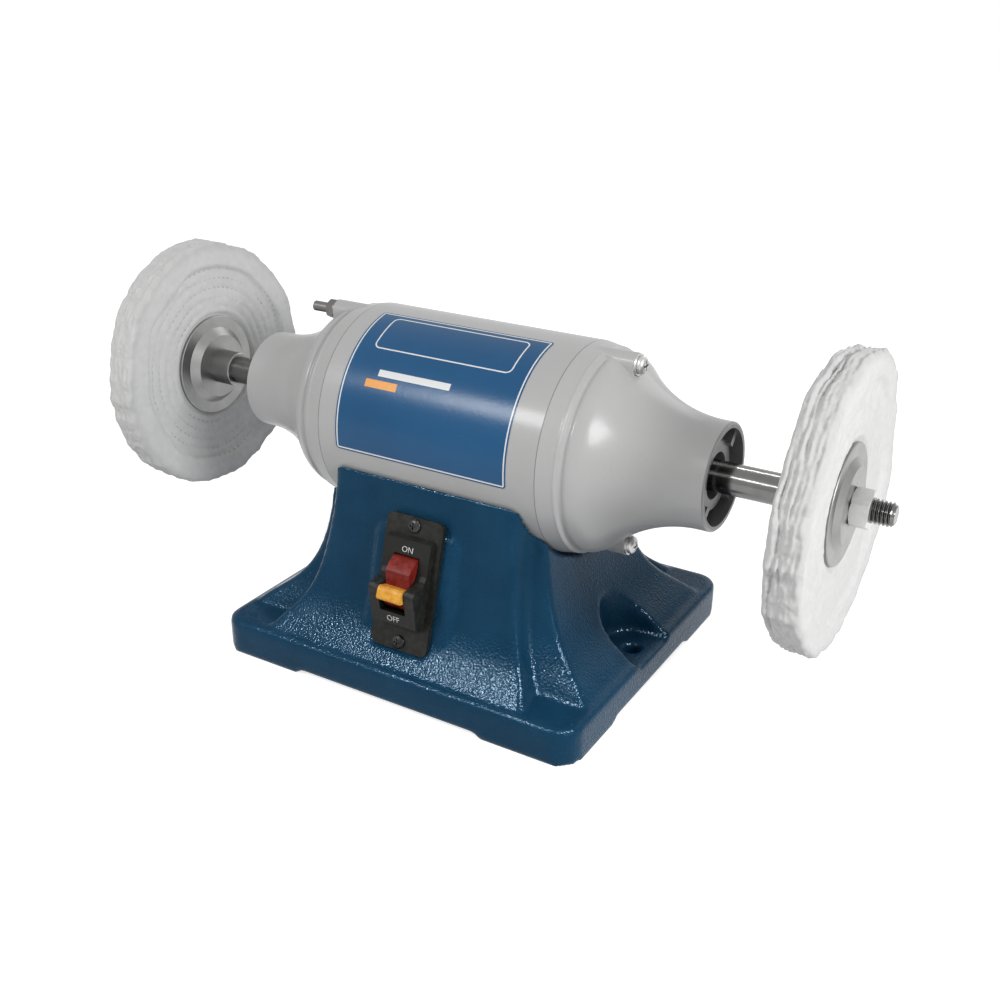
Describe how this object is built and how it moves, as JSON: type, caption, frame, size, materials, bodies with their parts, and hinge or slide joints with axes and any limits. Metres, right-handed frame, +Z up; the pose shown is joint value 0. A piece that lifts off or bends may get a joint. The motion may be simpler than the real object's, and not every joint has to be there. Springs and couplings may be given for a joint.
{
  "type": "buffing machine",
  "caption": "Bench buffer: an induction motor with flared end bells on a hollow cast base, cotton wheels clamped on its shaft ends, and a rocker switch with a pull-out key.",
  "frame": {"origin": "centre of the base's footprint, on the bench", "axes": "+X along the shaft, -Y towards the user and the switch, +Z up"},
  "size_m": [0.476, 0.203, 0.2133],
  "materials": {
    "blue_casting": "gloss hammered enamel over a sand casting",
    "grey_paint": "satin light grey enamel",
    "cover_steel": "plain dark sheet steel",
    "zinc": "zinc plated",
    "shaft_steel": "ground bar",
    "bearing_steel": "ground",
    "core_steel": "stacked sheet",
    "cage_aluminium": "cast",
    "copper": "varnished",
    "cotton": "stitched cotton cloth with a fluffy edge",
    "black_plastic": "satin moulding",
    "toggle_red": "brownish red moulding",
    "key_orange": "orange moulding",
    "black_screw": "black oxide",
    "rubber": "matt",
    "wire_insulation": "PVC"
  },
  "bodies": {
    "stand": {"base_casting": "blue_casting", "bottom_cover": "cover_steel", "cover_screws": "zinc", "motor_shell": "grey_paint", "shell_nuts": "zinc", "cradle_bolts": "zinc", "lead_bushing": "rubber", "stator_core": "core_steel", "left_winding": "copper", "right_winding": "copper", "left_end_bell": "grey_paint", "right_end_bell": "grey_paint", "tie_bolts": "zinc", "tie_washers": "zinc", "tie_nuts": "zinc", "wave_washer": "zinc", "left_outer_race": "bearing_steel", "right_outer_race": "bearing_steel", "switch_plate": "black_plastic", "switch_body": "black_plastic", "switch_terminals": "copper", "toggle_pin": "zinc", "switch_screws": "black_screw", "capacitor": "black_plastic", "capacitor_clamp": "zinc", "clamp_screws": "zinc", "lead_wires": "wire_insulation", "cord_gland": "rubber"},
    "rotor": {"shaft": "shaft_steel", "rotor_core": "core_steel", "rotor_cage": "cage_aluminium", "left_inner_race": "bearing_steel", "right_inner_race": "bearing_steel", "left_inner_flange": "zinc", "right_inner_flange": "zinc", "left_outer_flange": "zinc", "right_outer_flange": "zinc", "left_buffing_wheel": "cotton", "right_buffing_wheel": "cotton", "left_arbor_nut": "zinc", "right_arbor_nut": "zinc"},
    "left_balls": {"left_ball_cage": "bearing_steel"},
    "right_balls": {"right_ball_cage": "bearing_steel"},
    "toggle": {"switch_toggle": "toggle_red"},
    "key": {"safety_key": "key_orange"}
  },
  "joints": [
    {"name": "rotor_spin", "type": "hinge", "parent": "stand", "child": "rotor", "pos_m": [0, 0, 0.135], "axis": [1, 0, 0], "continuous": true},
    {"name": "left_ball_orbit", "type": "hinge", "parent": "stand", "child": "left_balls", "pos_m": [-0.12, 0, 0.135], "axis": [1, 0, 0], "continuous": true},
    {"name": "right_ball_orbit", "type": "hinge", "parent": "stand", "child": "right_balls", "pos_m": [0.12, 0, 0.135], "axis": [1, 0, 0], "continuous": true},
    {"name": "toggle_rock", "type": "hinge", "parent": "stand", "child": "toggle", "pos_m": [0, -0.06946, 0.0638], "axis": [-1, 0, 0], "range_deg": [0, 24]},
    {"name": "key_pull", "type": "slide", "parent": "toggle", "child": "key", "axis": [0, -0.961, 0.2765], "range_m": [0, 0.012]}
  ],
  "couplings": [
    {"joint": "left_ball_orbit", "follows": "rotor_spin", "ratio": 0.3807},
    {"joint": "right_ball_orbit", "follows": "rotor_spin", "ratio": 0.3807}
  ]
}
